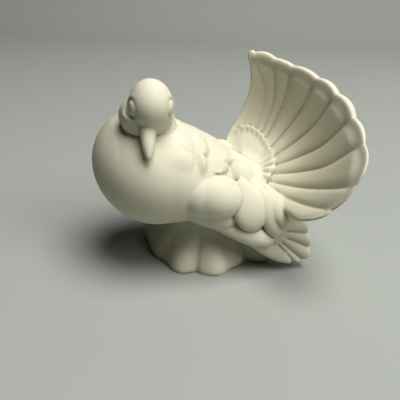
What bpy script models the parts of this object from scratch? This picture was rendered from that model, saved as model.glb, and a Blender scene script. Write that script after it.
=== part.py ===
import bpy
import bmesh
import math
import numpy
from mathutils import Matrix, Vector

# A fantail dove figurine cast as one piece with its small mound.
# Metres. X runs from the breast to the tail, Y across, Z up.
# The origin is the middle of the flat underside of the mound.
# The bird heads to minus X and turns its head to its left, to minus Y.
# Sizes read from the photo, scaled so that the figure is about 0.13 m long.

# resolution of the solid
VOXEL = 0.0009
SMOOTH_TURNS = 3
FILLET_TURNS = 10
FACE_LIMIT = 9400

# size of the figure from the breast to the rim of the tail
FIGURE_LENGTH = 0.1286
# the carving is drawn in shares of that length
SHARE = FIGURE_LENGTH / 128.6

# mound: reach of the lobed rim by angle, degrees from the tail end
MOUND_RIM = (
    (-180.0, 35.8), (-170.0, 34.8), (-160.0, 32.3), (-154.0, 32.3), (-140.0, 34.2), (-132.0, 33.4),
    (-120.0, 28.6), (-114.0, 29.7), (-100.0, 31.1), (-90.0, 30.1), (-80.0, 27.2), (-60.0, 26.8),
    (-49.5, 27.0), (-45.0, 33.0), (-36.0, 38.6), (-20.0, 36.6), (-6.0, 38.8), (10.0, 36.0),
    (28.0, 38.0), (46.0, 33.8), (62.0, 33.4), (80.0, 30.4), (98.0, 31.4), (118.0, 32.6),
    (132.0, 38.4), (145.0, 43.0), (155.0, 41.0), (166.0, 37.6), (180.0, 35.8))
MOUND_CENTRE = (1.0, 4.5)
MOUND_NECK = (19.5, 13.5)
MOUND_NECK_CENTRE = (-1.0, 0.0)
# height, and how far the side has drawn in from the rim to the neck
MOUND_PROFILE = ((-3.0, 0.03), (0.0, 0.0), (2.2, -0.02), (4.5, 0.02), (6.5, 0.08), (9.5, 0.20),
                 (14.0, 0.42), (20.0, 0.68), (27.0, 0.88), (34.0, 1.0), (42.0, 1.08))

# body: a round breast that runs back into the rump
BREAST_RADIUS = 32.6
BREAST_CENTRE = (-32.7, 0.0, 61.0)
BODY_TOP = ((-54.0, 85.68), (-50.0, 88.5), (-44.0, 90.8), (-38.0, 91.0), (-32.0, 89.6), (-25.0, 86.0),
            (-16.0, 81.2), (-6.0, 76.2), (3.0, 70.6), (8.0, 67.4), (12.0, 64.6), (17.0, 61.2), (22.0, 58.4),
            (28.0, 56.4))
BODY_LOW = ((-20.0, 29.0), (-8.0, 29.5), (4.0, 31.5), (16.0, 37.0), (26.0, 43.0))
BODY_WIDE = ((-22.0, 31.8), (-10.0, 29.2), (2.0, 25.8), (12.0, 21.5), (20.0, 17.5), (28.0, 12.0))
BODY_END = (34.0, 54.5, 50.0, 3.0)

# rows of back feathers: start, edge of the upper lobe, edge of the lower lobe, notch depth, height
MANTLE_ROWS = ((-34.0, -17.1, -18.1, 1.6, 1.6), (-16.5, -8.5, -11.0, 3.0, 2.7), (-8.0, 5.2, 1.8, 3.4, 3.2))
# angles down from the ridge of the back: where the rows begin on the near and on the far side,
# crest of the upper lobes, notch, foot of the last row
MANTLE_NEAR_START = 0.15
MANTLE_FAR_START = 0.50
MANTLE_CREST = 0.55
MANTLE_NOTCH = 0.77
MANTLE_FOOT = 1.07

# head, turned to the side of the bird and tucked down
HEAD_YAW = -95.0
HEAD_DIP = 45.0
CROWN_CENTRE = (-36.9, -18.0, 98.6)
CROWN_RADII = (11.6, 10.2, 11.6)
CHEEK_CENTRE = (-38.6, -13.6, 92.2)
CHEEK_RADII = (10.6, 12.9, 10.8)
NAPE_CENTRE = (-36.0, -6.0, 84.0)
NAPE_RADII = (13.5, 14.0, 13.0)
NECK_CENTRE = (-37.0, -8.5, 90.3)
NECK_RADII = (12.5, 11.8, 10.8)
BEAK_ROOT = (-38.9, -20.0, 92.5)
BEAK_TIP = (-40.2, -31.2, 76.8)
BEAK_RADIUS = 4.4
# eye, from the middle of the crown: along the beak, to the side, up
EYE_PLACE = (3.5, 9.2, 3.2)
EYE_RADIUS = 3.0
LID_RADIUS = 3.5
BROW_RADIUS = 4.7

# tail fan: a cup whose axis leans to the bird's left
FAN_ROOT = (17.7, 0.0, 50.7)
FAN_RADIUS = 60.0
FAN_AXIS = Vector((0.8961, 0.0652, 0.4390))
FAN_SIDE = Vector((-0.2620, 0.8762, 0.4045))
FAN_FACE = Vector((-0.3583, -0.4775, 0.8023))
FAN_BOWL = 0.10
FAN_CURL = 0.336
FAN_INNER = 0.12
# the outer part of the fan leans out towards this point, by this much at the rim
FAN_LEAN_TO = (-65.2, -212.4, 158.0)
FAN_LEAN = 9.0
FAN_ROOT_THICKNESS = 6.0
FAN_RIM_THICKNESS = 4.3
FAN_NEAR_RIM_THICKNESS = 2.4
# angles of the grooves between the tail feathers, far edge to near edge
FAN_GROOVES = (-54.5, -50.0, -39.0, -26.5, -11.5, 4.5, 21.5, 38.5, 55.5, 69.5, 80.8)
# how far the grooves swing round by the time they meet the rim
FAN_GROOVE_SWING = (0.0, 0.0, 0.0, -2.1, -1.7, -3.6, -3.6, -4.0, 0.7, 0.0, 0.0)
# reach of the rim at each groove, and how much further each feather reaches between
FAN_NOTCH = (1.035, 1.045, 1.022, 1.005, 1.002, 1.004, 1.010, 1.038, 1.032, 0.956, 0.770)
FAN_BULGE = (0.015, 0.014, 0.005, 0.010, 0.016, 0.018, 0.016, 0.034, 0.023, 0.055)
FAN_RIB = (0.15, 0.3, 0.7, 1.4, 1.9, 2.1, 2.1, 2.0, 1.8, 1.2)
# the far edge of the fan: angle by reach
FAN_FAR_EDGE = ((0.12, -100.0), (0.30, -90.0), (0.40, -84.0), (0.486, -73.5), (0.566, -64.5), (0.648, -58.8),
                (0.721, -55.8), (0.782, -53.4), (0.841, -52.4), (0.916, -52.2), (0.979, -52.9), (1.049, -54.2))

# rosette of tail coverts: reach of its edge on the cup by angle
ROSETTE_EDGE = (
    (-74.0, 0.46), (-64.0, 0.49), (-58.0, 0.505), (-50.0, 0.50), (-43.0, 0.48), (-33.0, 0.44), (-22.0, 0.397),
    (-12.0, 0.37), (-2.0, 0.358), (10.0, 0.33), (22.0, 0.32), (34.0, 0.302), (47.0, 0.285), (62.0, 0.275),
    (70.0, 0.26), (80.0, 0.20))
# angles of the notches between the coverts
ROSETTE_NOTCHES = (
    -74.0, -65.0, -57.0, -50.0, -43.0, -36.0, -28.0, -20.0, -11.7, 6.5, 22.0, 42.0, 60.5, 76.0)
ROSETTE_STEP = 1.2

# wing: shoulder, then one row per covert: root, middle, tip, width, thickness
SHOULDER_CENTRE = (-5.6, -25.0, 51.2)
SHOULDER_RADII = (15.2, 11.2, 12.0)
SHOULDER_TILT = 20.0
FLANK_BALLS = (((10.0, -18.0, 44.0), (19.0, 11.0, 14.0)), ((15.0, -16.0, 50.0), (10.0, 9.0, 7.0)),
               ((26.0, -19.5, 38.5), (8.0, 8.0, 6.0)))
SWELL_CENTRE = (-10.6, -22.6, 51.5)
SWELL_RADII = (17.0, 12.0, 12.5)
SCAPULAR_CENTRE = (9.8, -17.6, 59.4)
SCAPULAR_RADII = (8.2, 6.8, 4.6)
ARM_LEAVES = (
    ((-30.0, -19.0, 48.0), (-14.0, -23.5, 43.5), (6.5, -26.5, 36.9), 16.8, 12.0),
    ((2.0, -17.0, 40.0), (18.0, -20.0, 33.0), (38.0, -25.5, 20.0), 24.0, 11.0))
COVERTS = (
    ((8.0, -25.0, 31.0), (21.6, -26.8, 20.0), (41.0, -28.6, 5.8), 10.0, 6.5),
    ((-6.0, -23.5, 37.0), (10.0, -28.0, 30.6), (27.6, -30.2, 22.6), 13.5, 9.0),
    ((18.5, -18.0, 51.5), (28.6, -28.2, 43.6), (32.4, -32.0, 32.0), 13.0, 8.0),
    ((12.5, -21.5, 55.0), (22.6, -28.6, 42.8), (28.2, -31.6, 26.6), 12.5, 7.5),
    ((3.5, -24.0, 55.0), (11.4, -29.2, 46.0), (15.8, -30.8, 31.8), 19.5, 8.5))
# way the broad face of a covert is turned
COVERT_FACE = (
    (0.15, -1.0, 0.25), (0.15, -1.0, 0.25), (0.25, -0.75, 0.60), (0.15, -1.0, 0.30), (0.15, -1.0, 0.25))
# flight feathers: a small fan in the plane of the wing, from the point where its grooves meet
FLIGHT_ROOT = (23.9, -26.2, 29.0)
FLIGHT_GROOVES = (-60.0, -52.2, -43.6, -28.2, -11.0, 9.0)
# its outline: reach by angle
FLIGHT_EDGE = (
    (-60.0, 28.6), (-57.0, 29.3), (-51.8, 30.2), (-48.6, 32.2), (-42.0, 34.4), (-36.0, 35.3), (-31.0, 33.4),
    (-27.4, 31.4), (-22.3, 30.2), (-15.0, 27.8), (-9.8, 26.2), (-1.0, 24.6), (9.0, 22.9))
FLIGHT_THICKNESS = 5.2
FLIGHT_RIB = 1.3


def smooth(t):
    t = min(1.0, max(0.0, t))
    return t * t * (3.0 - 2.0 * t)


def lerp(a, b, t):
    return a + (b - a) * t


def table(x, rows):
    # smooth interpolation through a few named stations
    if x <= rows[0][0]:
        return rows[0][1]
    for k in range(len(rows) - 1):
        x0, v0 = rows[k]
        x1, v1 = rows[k + 1]
        if x <= x1:
            left = rows[k - 1] if k > 0 else rows[k]
            right = rows[k + 2] if k + 2 < len(rows) else rows[k + 1]
            m0 = (v1 - left[1]) / (x1 - left[0])
            m1 = (right[1] - v0) / (right[0] - x0)
            h = x1 - x0
            t = (x - x0) / h
            a = 2 * t ** 3 - 3 * t ** 2 + 1
            b = t ** 3 - 2 * t ** 2 + t
            c = -2 * t ** 3 + 3 * t ** 2
            d = t ** 3 - t ** 2
            return a * v0 + b * h * m0 + c * v1 + d * h * m1
    return rows[-1][1]


def add_loft(bm, rings):
    # closed tube through rings of equal count, ends closed to their middles
    rows = [[bm.verts.new(p * SHARE) for p in ring] for ring in rings]
    n = len(rows[0])
    for a, b in zip(rows[:-1], rows[1:]):
        for i in range(n):
            j = (i + 1) % n
            bm.faces.new((a[i], a[j], b[j], b[i]))
    for row, flip in ((rows[0], True), (rows[-1], False)):
        mid = Vector((0, 0, 0))
        for v in row:
            mid += v.co
        c = bm.verts.new(mid / n)
        for i in range(n):
            j = (i + 1) % n
            if flip:
                bm.faces.new((row[j], row[i], c))
            else:
                bm.faces.new((row[i], row[j], c))


def add_slab(bm, front, back):
    # closed sheet of feathers between a grid of points on its face and one on its back
    faces = [[bm.verts.new(p * SHARE) for p in row] for row in front]
    backs = [[bm.verts.new(p * SHARE) for p in row] for row in back]
    last = len(faces) - 1
    side = len(faces[0]) - 1
    for a, b, c, d in zip(faces[:-1], faces[1:], backs[:-1], backs[1:]):
        for i in range(side):
            bm.faces.new((a[i], a[i + 1], b[i + 1], b[i]))
            bm.faces.new((d[i], d[i + 1], c[i + 1], c[i]))
        bm.faces.new((a[0], b[0], d[0], c[0]))
        bm.faces.new((b[side], a[side], c[side], d[side]))
    for i in range(side):
        bm.faces.new((faces[0][i + 1], faces[0][i], backs[0][i], backs[0][i + 1]))
        bm.faces.new((faces[last][i], faces[last][i + 1], backs[last][i + 1], backs[last][i]))


def add_ball(bm, centre, radii, axes):
    # ellipsoid with its own axes, from a unit sphere
    turn = Matrix((axes[0], axes[1], axes[2])).transposed().to_4x4()
    size = Matrix.Diagonal((radii[0] * SHARE, radii[1] * SHARE, radii[2] * SHARE, 1.0))
    place = Matrix.Translation(Vector(centre) * SHARE) @ turn @ size
    ball = bmesh.new()
    bmesh.ops.create_uvsphere(ball, u_segments=40, v_segments=26, radius=1.0, matrix=place)
    mesh = bpy.data.meshes.new("ball")
    ball.to_mesh(mesh)
    ball.free()
    bm.from_mesh(mesh)
    bpy.data.meshes.remove(mesh)


WORLD_AXES = (Vector((1, 0, 0)), Vector((0, 1, 0)), Vector((0, 0, 1)))


def add_petal(bm, root, middle, tip, width, thick, face, waist=0.75, blunt=0.62):
    # feather: a rounded leaf along a bent line from root to tip, bulging towards face
    root = Vector(root)
    middle = Vector(middle)
    tip = Vector(tip)
    turns = 20
    sides = 28
    rings = []
    for k in range(turns + 1):
        t = 1.0 - (1.0 - k / turns) ** 1.6
        # bent line that passes through the middle point half way
        bend = middle * 2.0 - (root + tip) * 0.5
        mid = root * (1 - t) ** 2 + bend * (2 * t * (1 - t)) + tip * t ** 2
        axis = ((bend - root) * (1 - t) + (tip - bend) * t).normalized()
        out = (face - axis * face.dot(axis)).normalized()
        side = axis.cross(out)
        if t < blunt:
            w = lerp(waist, 1.0, smooth(t / blunt))
        else:
            w = math.sqrt(max(0.0, 1.0 - ((t - blunt) / (1.0 - blunt)) ** 2.2))
        w = max(w, 0.03)
        h = max(w ** 0.7, 0.05)
        ring = []
        for i in range(sides):
            b = 2 * math.pi * i / sides
            ring.append(mid + side * (0.5 * width * w * math.cos(b)) + out * (0.5 * thick * h * math.sin(b)))
        rings.append(ring)
    add_loft(bm, rings)


def body_ring(x):
    # centre height, half width and half height of the body at x
    r = BREAST_RADIUS
    cx, cy, cz = BREAST_CENTRE
    end, end_top, end_low, end_wide = BODY_END
    out = max(0.0, (cx - x) / r)
    s = r * math.sqrt(max(0.0, 1.0 - out * out))
    # the breast is a ball, and the nape in its shoulder is a little lower
    top = cz + 2.0 * out * out + s * (1.0 - 0.03 * out)
    if x > BODY_TOP[0][0]:
        top = table(x, BODY_TOP + ((end, end_top),))
    low = cz + 2.0 * out * out - s * (1.0 - 0.03 * out)
    wide = s
    if x > cx:
        low = table(x, ((cx, cz - r),) + BODY_LOW + ((end, end_low),))
        wide = table(x, ((cx, r),) + BODY_WIDE + ((end, end_wide),))
    return 0.5 * (top + low), wide, 0.5 * (top - low)


def mantle(x, down, first):
    # height of the overlapping rows of back feathers, two lobes to a side
    height = 0.0
    side = 0.12 + 0.88 * smooth((down - first) / 0.40)
    for row, (start, upper, lower, notch, step) in enumerate(MANTLE_ROWS):
        last = row == len(MANTLE_ROWS) - 1
        foot = 1.0
        if down < MANTLE_NOTCH:
            past = max(0.0, (down - MANTLE_CREST) / (MANTLE_NOTCH - MANTLE_CREST))
            edge = upper - notch * past ** 3
            dip = 0.45 * past ** 3
        else:
            past = (down - MANTLE_NOTCH) / (MANTLE_FOOT - MANTLE_NOTCH)
            edge = lower - (6.0 if last else 1.0) * past ** 3
            dip = 0.45 * max(0.0, 1.0 - past * 3.5) ** 2
            if last:
                foot = (1.0 - 0.35 * smooth(past)) * (1.0 - smooth((past - 0.93) / 0.10))
            else:
                foot = 1.0 - smooth((past - 0.5) / 0.9)
        run = (x - start) / (edge - start)
        # the lobes part only towards their edge
        dome = foot * (1.0 - dip * smooth((run - 0.45) / 0.45))
        rise = smooth(run * 1.15)
        curl = 1.0 - 0.35 * smooth((run - 0.70) / 0.30)
        drop = 1.0 - smooth((x - edge) / 0.5)
        height = max(height, step * side * dome * rise * curl * drop)
    return height


def add_body(bm):
    cx = BREAST_CENTRE[0]
    front_count = 24
    along_count = 110
    around_count = 180
    xs = []
    for k in range(1, front_count + 1):
        xs.append(cx - BREAST_RADIUS * math.cos(0.5 * math.pi * k / front_count))
    for k in range(1, along_count + 1):
        xs.append(lerp(cx, BODY_END[0], k / along_count))
    rings = []
    for x in xs:
        z, w, h = body_ring(x)
        ring = []
        for i in range(around_count):
            b = 2 * math.pi * i / around_count
            down = abs(math.atan2(math.cos(b), math.sin(b)))
            first = MANTLE_FAR_START if math.cos(b) > 0 else MANTLE_NEAR_START
            lift = mantle(x, down, first)
            ring.append(Vector((x, (w + lift) * math.cos(b), z + (h + lift) * math.sin(b))))
        rings.append(ring)
    add_loft(bm, rings)


def head_axes():
    yaw = math.radians(HEAD_YAW)
    dip = math.radians(HEAD_DIP)
    fwd = Vector((math.cos(yaw) * math.cos(dip), math.sin(yaw) * math.cos(dip), -math.sin(dip)))
    side = Vector((-math.sin(yaw), math.cos(yaw), 0.0))
    up = side.cross(fwd)
    if up.z < 0:
        up = -up
    return fwd, side, up


def eye_places():
    fwd, side, up = head_axes()
    places = []
    for hand in (-1, 1):
        ahead, out, above = EYE_PLACE
        places.append(Vector(CROWN_CENTRE) + fwd * ahead + side * (hand * out) + up * above)
    return places


def add_head_balls(bm):
    axes = head_axes()
    add_ball(bm, CROWN_CENTRE, CROWN_RADII, axes)
    add_ball(bm, CHEEK_CENTRE, CHEEK_RADII, axes)
    # neck sinks into the breast
    add_ball(bm, NECK_CENTRE, NECK_RADII, WORLD_AXES)
    add_ball(bm, NAPE_CENTRE, NAPE_RADII, WORLD_AXES)


def add_beak(bm):
    fwd, side, up = head_axes()
    root = Vector(BEAK_ROOT)
    run = Vector(BEAK_TIP) - root
    lift = side.cross(run).normalized()
    stations = 18
    rings = []
    for k in range(stations + 1):
        t = 1.0 - (1.0 - k / stations) ** 1.5
        r = BEAK_RADIUS * (1.0 - 0.38 * t) * math.sqrt(max(0.0, 1.0 - max(0.0, (t - 0.5) / 0.5) ** 2))
        r = max(r, 0.15)
        mid = root + run * t
        ring = []
        for i in range(24):
            b = 2 * math.pi * i / 24
            ring.append(mid + side * (r * math.cos(b)) + lift * (r * 1.05 * math.sin(b)))
        rings.append(ring)
    add_loft(bm, rings)


def cup(phi, rho, lift=0.0):
    # place on the tail cup, phi in degrees across the fan, rho along a feather
    a = math.radians(phi)
    out = FAN_AXIS * math.cos(a) - FAN_SIDE * math.sin(a)
    slope = 2 * FAN_BOWL * rho + 3 * FAN_CURL * rho * rho
    p = Vector(FAN_ROOT) + out * (FAN_RADIUS * rho)
    p = p + FAN_FACE * (FAN_RADIUS * (FAN_BOWL * rho ** 2 + FAN_CURL * rho ** 3))
    # its near edge leans less, because it runs into the wing
    lean = smooth((rho - 0.42) / 0.62) * (1.0 - 0.85 * smooth((phi - 48.0) / 28.0))
    towards = (Vector(FAN_LEAN_TO) - p).normalized()
    slope = slope + 0.85 * FAN_LEAN * 6.0 * max(0.0, lean * (1.0 - lean)) ** 0.75 / (0.62 * FAN_RADIUS) * 0.8
    normal = (FAN_FACE - out * slope).normalized()
    return p + towards * (FAN_LEAN * lean) + normal * lift


def groove_angle(k, rho):
    if k == 0:
        return table(rho, FAN_FAR_EDGE)
    base = FAN_GROOVES[k] + FAN_GROOVE_SWING[k] * smooth((rho - 0.70) / 0.30)
    if k == 1:
        return base + 9.0 * smooth((1.02 - rho) / 0.26)
    if k == 2:
        return base + 5.0 * smooth((1.02 - rho) / 0.30)
    return base


def add_fan(bm):
    across_count = 12
    along_count = 44
    feathers = len(FAN_BULGE)
    front = []
    back = []
    for j in range(along_count + 1):
        s = 1.0 - (1.0 - j / along_count) ** 1.4
        face_row = []
        back_row = []
        for k in range(feathers):
            for i in range(across_count + (1 if k == feathers - 1 else 0)):
                u = i / across_count
                e = abs(2 * u - 1)
                reach = lerp(FAN_NOTCH[k], FAN_NOTCH[k + 1], u) + FAN_BULGE[k] * (1.0 - e ** 2)
                rho = lerp(FAN_INNER, reach, s)
                phi = lerp(groove_angle(k, rho), groove_angle(k + 1, rho), u)
                near = smooth((phi - 5.0) / 45.0)
                # ribs swell along the feather and die away in the rolled rim
                swell = smooth((rho - 0.16) / 0.30) * (1.0 - 0.75 * smooth((s - 0.90) / 0.07))
                rib = FAN_RIB[k] * (1.0 - e ** 2.8) * swell
                lip = 0.8 * smooth((s - 0.92) / 0.05) * (1.0 - near)
                rim = lerp(FAN_RIM_THICKNESS, FAN_NEAR_RIM_THICKNESS, near)
                thick = lerp(FAN_ROOT_THICKNESS, rim, smooth(rho))
                # the far rim is rolled, the near rim thins to an edge from behind
                rolled = math.sqrt(max(0.0, 1.0 - max(0.0, (s - 0.975) / 0.025) ** 2))
                thinned = math.sqrt(max(0.0, 1.0 - max(0.0, (s - 0.84) / 0.16) ** 2))
                face = rib + lip - 0.22 * thick * (1.0 - rolled)
                behind = (thick + 0.6 * rib * (1.0 - s ** 8)) * lerp(lerp(0.7, 1.0, rolled), thinned, near)
                face_row.append(cup(phi, rho, face))
                back_row.append(cup(phi, rho, min(face - 0.7, -behind)))
        front.append(face_row)
        back.append(back_row)
    add_slab(bm, front, back)


def add_rosette(bm):
    # ring of tail coverts with a raised scalloped border and a dimple in each lobe
    across_count = 10
    along_count = 30
    lobes = len(ROSETTE_NOTCHES) - 1
    front = []
    back = []
    for j in range(along_count + 1):
        s = 1.0 - (1.0 - j / along_count) ** 1.6
        face_row = []
        back_row = []
        for k in range(lobes):
            for i in range(across_count + (1 if k == lobes - 1 else 0)):
                u = i / across_count
                e = abs(2 * u - 1)
                phi = lerp(ROSETTE_NOTCHES[k], ROSETTE_NOTCHES[k + 1], u)
                near = smooth((phi + 20.0) / 50.0)
                edge = table(phi, ROSETTE_EDGE) + 0.008 - 0.018 * e ** 2.2
                rho = lerp(0.02, edge, s)
                inward = (edge - rho) * FAN_RADIUS
                bead = 0.4 * (1.0 - near) * math.exp(-((inward - 1.2) / 1.3) ** 2)
                dimple = 0.3 * (1.0 - e ** 2) * math.exp(-((inward - 4.2) / 2.2) ** 2)
                ridge = (1.0 - e ** 1.8) * math.exp(-((inward - 3.6) / 4.6) ** 2)
                lift = ROSETTE_STEP + bead - dimple * (1.0 - near) + 2.6 * near * ridge
                lift = lift + 4.6 * smooth(1.0 - rho / 0.26) + 2.0 * smooth((phi - 15.0) / 30.0)
                # the far end of the ring dies away on the cup
                lift = lerp(0.2, lift, smooth((phi + 74.0) / 16.0))
                face_row.append(cup(phi, rho, lift))
                back_row.append(cup(phi, rho, -1.5))
        front.append(face_row)
        back.append(back_row)
    add_slab(bm, front, back)


def add_flight(bm, hand):
    # flight feathers side by side under the coverts
    across_count = 10
    along_count = 24
    feathers = len(FLIGHT_GROOVES) - 1
    rx, ry, rz = FLIGHT_ROOT
    front = []
    back = []
    for j in range(along_count + 1):
        s = 1.0 - (1.0 - j / along_count) ** 1.4
        face_row = []
        back_row = []
        for k in range(feathers):
            for i in range(across_count + (1 if k == feathers - 1 else 0)):
                u = i / across_count
                e = abs(2 * u - 1)
                angle = lerp(FLIGHT_GROOVES[k], FLIGHT_GROOVES[k + 1], u)
                reach = table(angle, FLIGHT_EDGE) - 0.9 * e ** 5
                r = lerp(1.0, reach, s)
                a = math.radians(angle)
                rib = FLIGHT_RIB * (1.0 - e ** 2.4) * smooth(r / 8.0)
                round_off = math.sqrt(max(0.0, 1.0 - max(0.0, (s - 0.92) / 0.08) ** 2))
                out = ry - 0.10 * r - rib + 1.6 * (1.0 - round_off)
                into = ry - 0.10 * r + FLIGHT_THICKNESS * lerp(1.3, 0.75, s) * lerp(0.5, 1.0, round_off)
                x = rx + r * math.cos(a)
                z = rz + r * math.sin(a)
                face_row.append(Vector((x, out * hand, z)))
                back_row.append(Vector((x, into * hand, z)))
        front.append(face_row)
        back.append(back_row)
    add_slab(bm, front, back)


def add_wing_balls(bm):
    tilt = math.radians(SHOULDER_TILT)
    leaned = (Vector((math.cos(tilt), 0, -math.sin(tilt))), Vector((0, 1, 0)),
              Vector((math.sin(tilt), 0, math.cos(tilt))))
    for hand in (1, -1):
        x, y, z = SHOULDER_CENTRE
        add_ball(bm, (x, y * hand, z), SHOULDER_RADII, leaned)
        # swelling of the breast that leads into the shoulder
        x, y, z = SWELL_CENTRE
        add_ball(bm, (x, y * hand, z), SWELL_RADII, leaned)
        # flank between wing, rump and tail
        for (x, y, z), radii in FLANK_BALLS:
            add_ball(bm, (x, y * hand, z), radii, WORLD_AXES)
        # scapular feather beside the rump
        x, y, z = SCAPULAR_CENTRE
        leaf = Vector((0.25, -0.70 * hand, 0.66)).normalized()
        along = Vector((0.62, -0.42 * hand, -0.66))
        along = (along - leaf * along.dot(leaf)).normalized()
        add_ball(bm, (x, y * hand, z), SCAPULAR_RADII, (along, leaf.cross(along), leaf))


def add_wings(bm):
    for hand in (1, -1):
        def place(p):
            return Vector((p[0], p[1] * hand, p[2]))
        out = Vector((0.05, -1.0 * hand, 0.0))
        # arm of the wing, whose lower edge hangs over the mound, and the flesh behind the flight feathers
        for root, middle, tip, width, thick in ARM_LEAVES:
            add_petal(bm, place(root), place(middle), place(tip), width, thick, out, waist=0.6, blunt=0.75)
        for (root, middle, tip, width, thick), face in zip(COVERTS, COVERT_FACE):
            add_petal(bm, place(root), place(middle), place(tip), width, thick, place(face))
        add_flight(bm, hand)


def add_mound(bm):
    rings = []
    for z, drawn in MOUND_PROFILE:
        cx = lerp(MOUND_CENTRE[0], MOUND_NECK_CENTRE[0], drawn)
        cy = lerp(MOUND_CENTRE[1], MOUND_NECK_CENTRE[1], drawn)
        ring = []
        for i in range(160):
            b = 2 * math.pi * i / 160 - math.pi
            rim = table(math.degrees(b), MOUND_RIM)
            neck = 1.0 / math.hypot(math.cos(b) / MOUND_NECK[0], math.sin(b) / MOUND_NECK[1])
            r = lerp(rim, neck, drawn)
            ring.append(Vector((cx + r * math.cos(b), cy + r * math.sin(b), z)))
        rings.append(ring)
    add_loft(bm, rings)


# where one form runs softly into the next: place and radius
FILLETS = (
    ((-18.5, -27.0, 51.0), 9.0), ((-12.0, -27.0, 39.0), 9.0),
    ((-18.5, 27.0, 51.0), 9.0), ((-12.0, 27.0, 39.0), 9.0),
    ((24.0, -18.5, 46.5), 5.5), ((24.0, 18.5, 46.5), 5.5),
    ((28.0, -26.0, 44.5), 6.5), ((28.0, 26.0, 44.5), 6.5),
    ((31.0, -33.0, 43.5), 5.0), ((31.0, 33.0, 43.5), 5.0),
    ((-39.0, -26.5, 92.0), 6.5), ((-33.0, -8.0, 104.0), 7.0),
    ((-50.0, -10.0, 84.0), 7.0), ((-25.0, -10.0, 84.0), 8.0), ((-37.0, 4.0, 93.0), 9.0),
    ((-37.0, -4.0, 101.0), 8.0), ((-30.0, 4.0, 90.0), 8.0), ((-45.0, 2.0, 88.0), 8.0),
    ((15.0, -22.0, 56.0), 6.5), ((15.0, 22.0, 56.0), 6.5),
    ((22.0, -14.0, 50.0), 5.0), ((16.0, -2.0, 63.0), 5.0))


def nearness(points, spot, radius):
    # weight from 1 at the spot to 0 well outside the radius
    away = points - numpy.array(spot) * SHARE
    return numpy.exp(-(away ** 2).sum(axis=1) / (radius * SHARE) ** 2)


def read_points(mesh):
    flat = numpy.empty(len(mesh.vertices) * 3, dtype=numpy.float32)
    mesh.vertices.foreach_get("co", flat)
    return flat.reshape(-1, 3).astype(float)


def soften(obj, turns):
    # smooth only near the fillets
    points = read_points(obj.data)
    weight = numpy.zeros(len(points))
    for spot, radius in FILLETS:
        weight = numpy.maximum(weight, nearness(points, spot, radius))
    weight = numpy.minimum(1.0, weight * 1.6)
    group = obj.vertex_groups.new(name="fillets")
    for index in numpy.nonzero(weight > 0.03)[0]:
        group.add([int(index)], float(weight[index]), "REPLACE")
    relax = obj.modifiers.new("fillets", "SMOOTH")
    relax.vertex_group = "fillets"
    relax.factor = 0.5
    relax.iterations = turns
    apply_all(obj)


def carve_eyes(mesh):
    # a shallow socket with a raised border on either side of the head, and the eye in it
    points = read_points(mesh)
    flat = numpy.empty(len(points) * 3, dtype=numpy.float32)
    mesh.vertex_normals.foreach_get("vector", flat)
    normals = flat.reshape(-1, 3).astype(float)
    fwd, side, up = head_axes()
    for hand, eye in zip((-1, 1), eye_places()):
        away = points / SHARE - numpy.array(eye)
        along = away @ numpy.array(fwd)
        out = away @ numpy.array(side) * hand
        above = away @ numpy.array(up)
        # the eye is an upright oval
        tall = (0.745 * along - 0.667 * above) / 1.14
        wide = (0.667 * along + 0.745 * above) / 0.94
        ring = numpy.hypot(tall, wide)
        close = numpy.exp(-(out / 6.0) ** 4)
        ball = 0.55 * numpy.exp(-(ring / EYE_RADIUS) ** 6)
        # the border stands up behind the eye and dies away in front of it
        behind = 0.5 - 0.5 * (0.54 * along + 0.84 * above) / numpy.maximum(numpy.hypot(along, above), 0.1)
        groove = -0.55 * (0.25 + 0.75 * behind) * numpy.exp(-((ring - LID_RADIUS) / 0.75) ** 2)
        brow = 0.7 * behind ** 1.5 * numpy.exp(-((ring - BROW_RADIUS) / 0.9) ** 2)
        push = (ball + groove + brow) * close * SHARE
        points = points + normals * push[:, None]
    mesh.vertices.foreach_set("co", points.astype(numpy.float32).ravel())
    mesh.update()


def flat_bottom(mesh):
    # exact flat underside at z = 0
    bm = bmesh.new()
    bm.from_mesh(mesh)
    geom = list(bm.verts) + list(bm.edges) + list(bm.faces)
    cut = bmesh.ops.bisect_plane(bm, geom=geom, plane_co=(0, 0, 0), plane_no=(0, 0, -1), clear_outer=True)
    rim = [e for e in cut["geom_cut"] if isinstance(e, bmesh.types.BMEdge)]
    bmesh.ops.holes_fill(bm, edges=rim, sides=0)
    bmesh.ops.recalc_face_normals(bm, faces=bm.faces)
    bm.to_mesh(mesh)
    bm.free()


def apply_all(obj):
    graph = bpy.context.evaluated_depsgraph_get()
    mesh = bpy.data.meshes.new_from_object(obj.evaluated_get(graph))
    old = obj.data
    obj.modifiers.clear()
    obj.data = mesh
    bpy.data.meshes.remove(old)


def build_dove(name, voxel, turns, fillet_turns, limit):
    bm = bmesh.new()
    add_head_balls(bm)
    add_wing_balls(bm)
    add_body(bm)
    add_beak(bm)
    add_fan(bm)
    add_rosette(bm)
    add_wings(bm)
    add_mound(bm)
    bmesh.ops.recalc_face_normals(bm, faces=bm.faces)
    mesh = bpy.data.meshes.new(name)
    bm.to_mesh(mesh)
    bm.free()
    obj = bpy.data.objects.new(name, mesh)
    group = bpy.data.collections.new(name + "_parts")
    bpy.context.scene.collection.children.link(group)
    group.objects.link(obj)
    remesh = obj.modifiers.new("one_skin", "REMESH")
    remesh.mode = "VOXEL"
    remesh.voxel_size = voxel
    remesh.adaptivity = 0.0
    soft = obj.modifiers.new("soft", "SMOOTH")
    soft.factor = 0.5
    soft.iterations = turns
    apply_all(obj)
    soften(obj, fillet_turns)
    carve_eyes(obj.data)
    faces = sum(len(p.vertices) - 2 for p in obj.data.polygons)
    if faces > limit:
        thin = obj.modifiers.new("thin", "DECIMATE")
        thin.ratio = limit / faces
        thin.use_collapse_triangulate = True
        apply_all(obj)
    flat_bottom(obj.data)
    return obj


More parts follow.
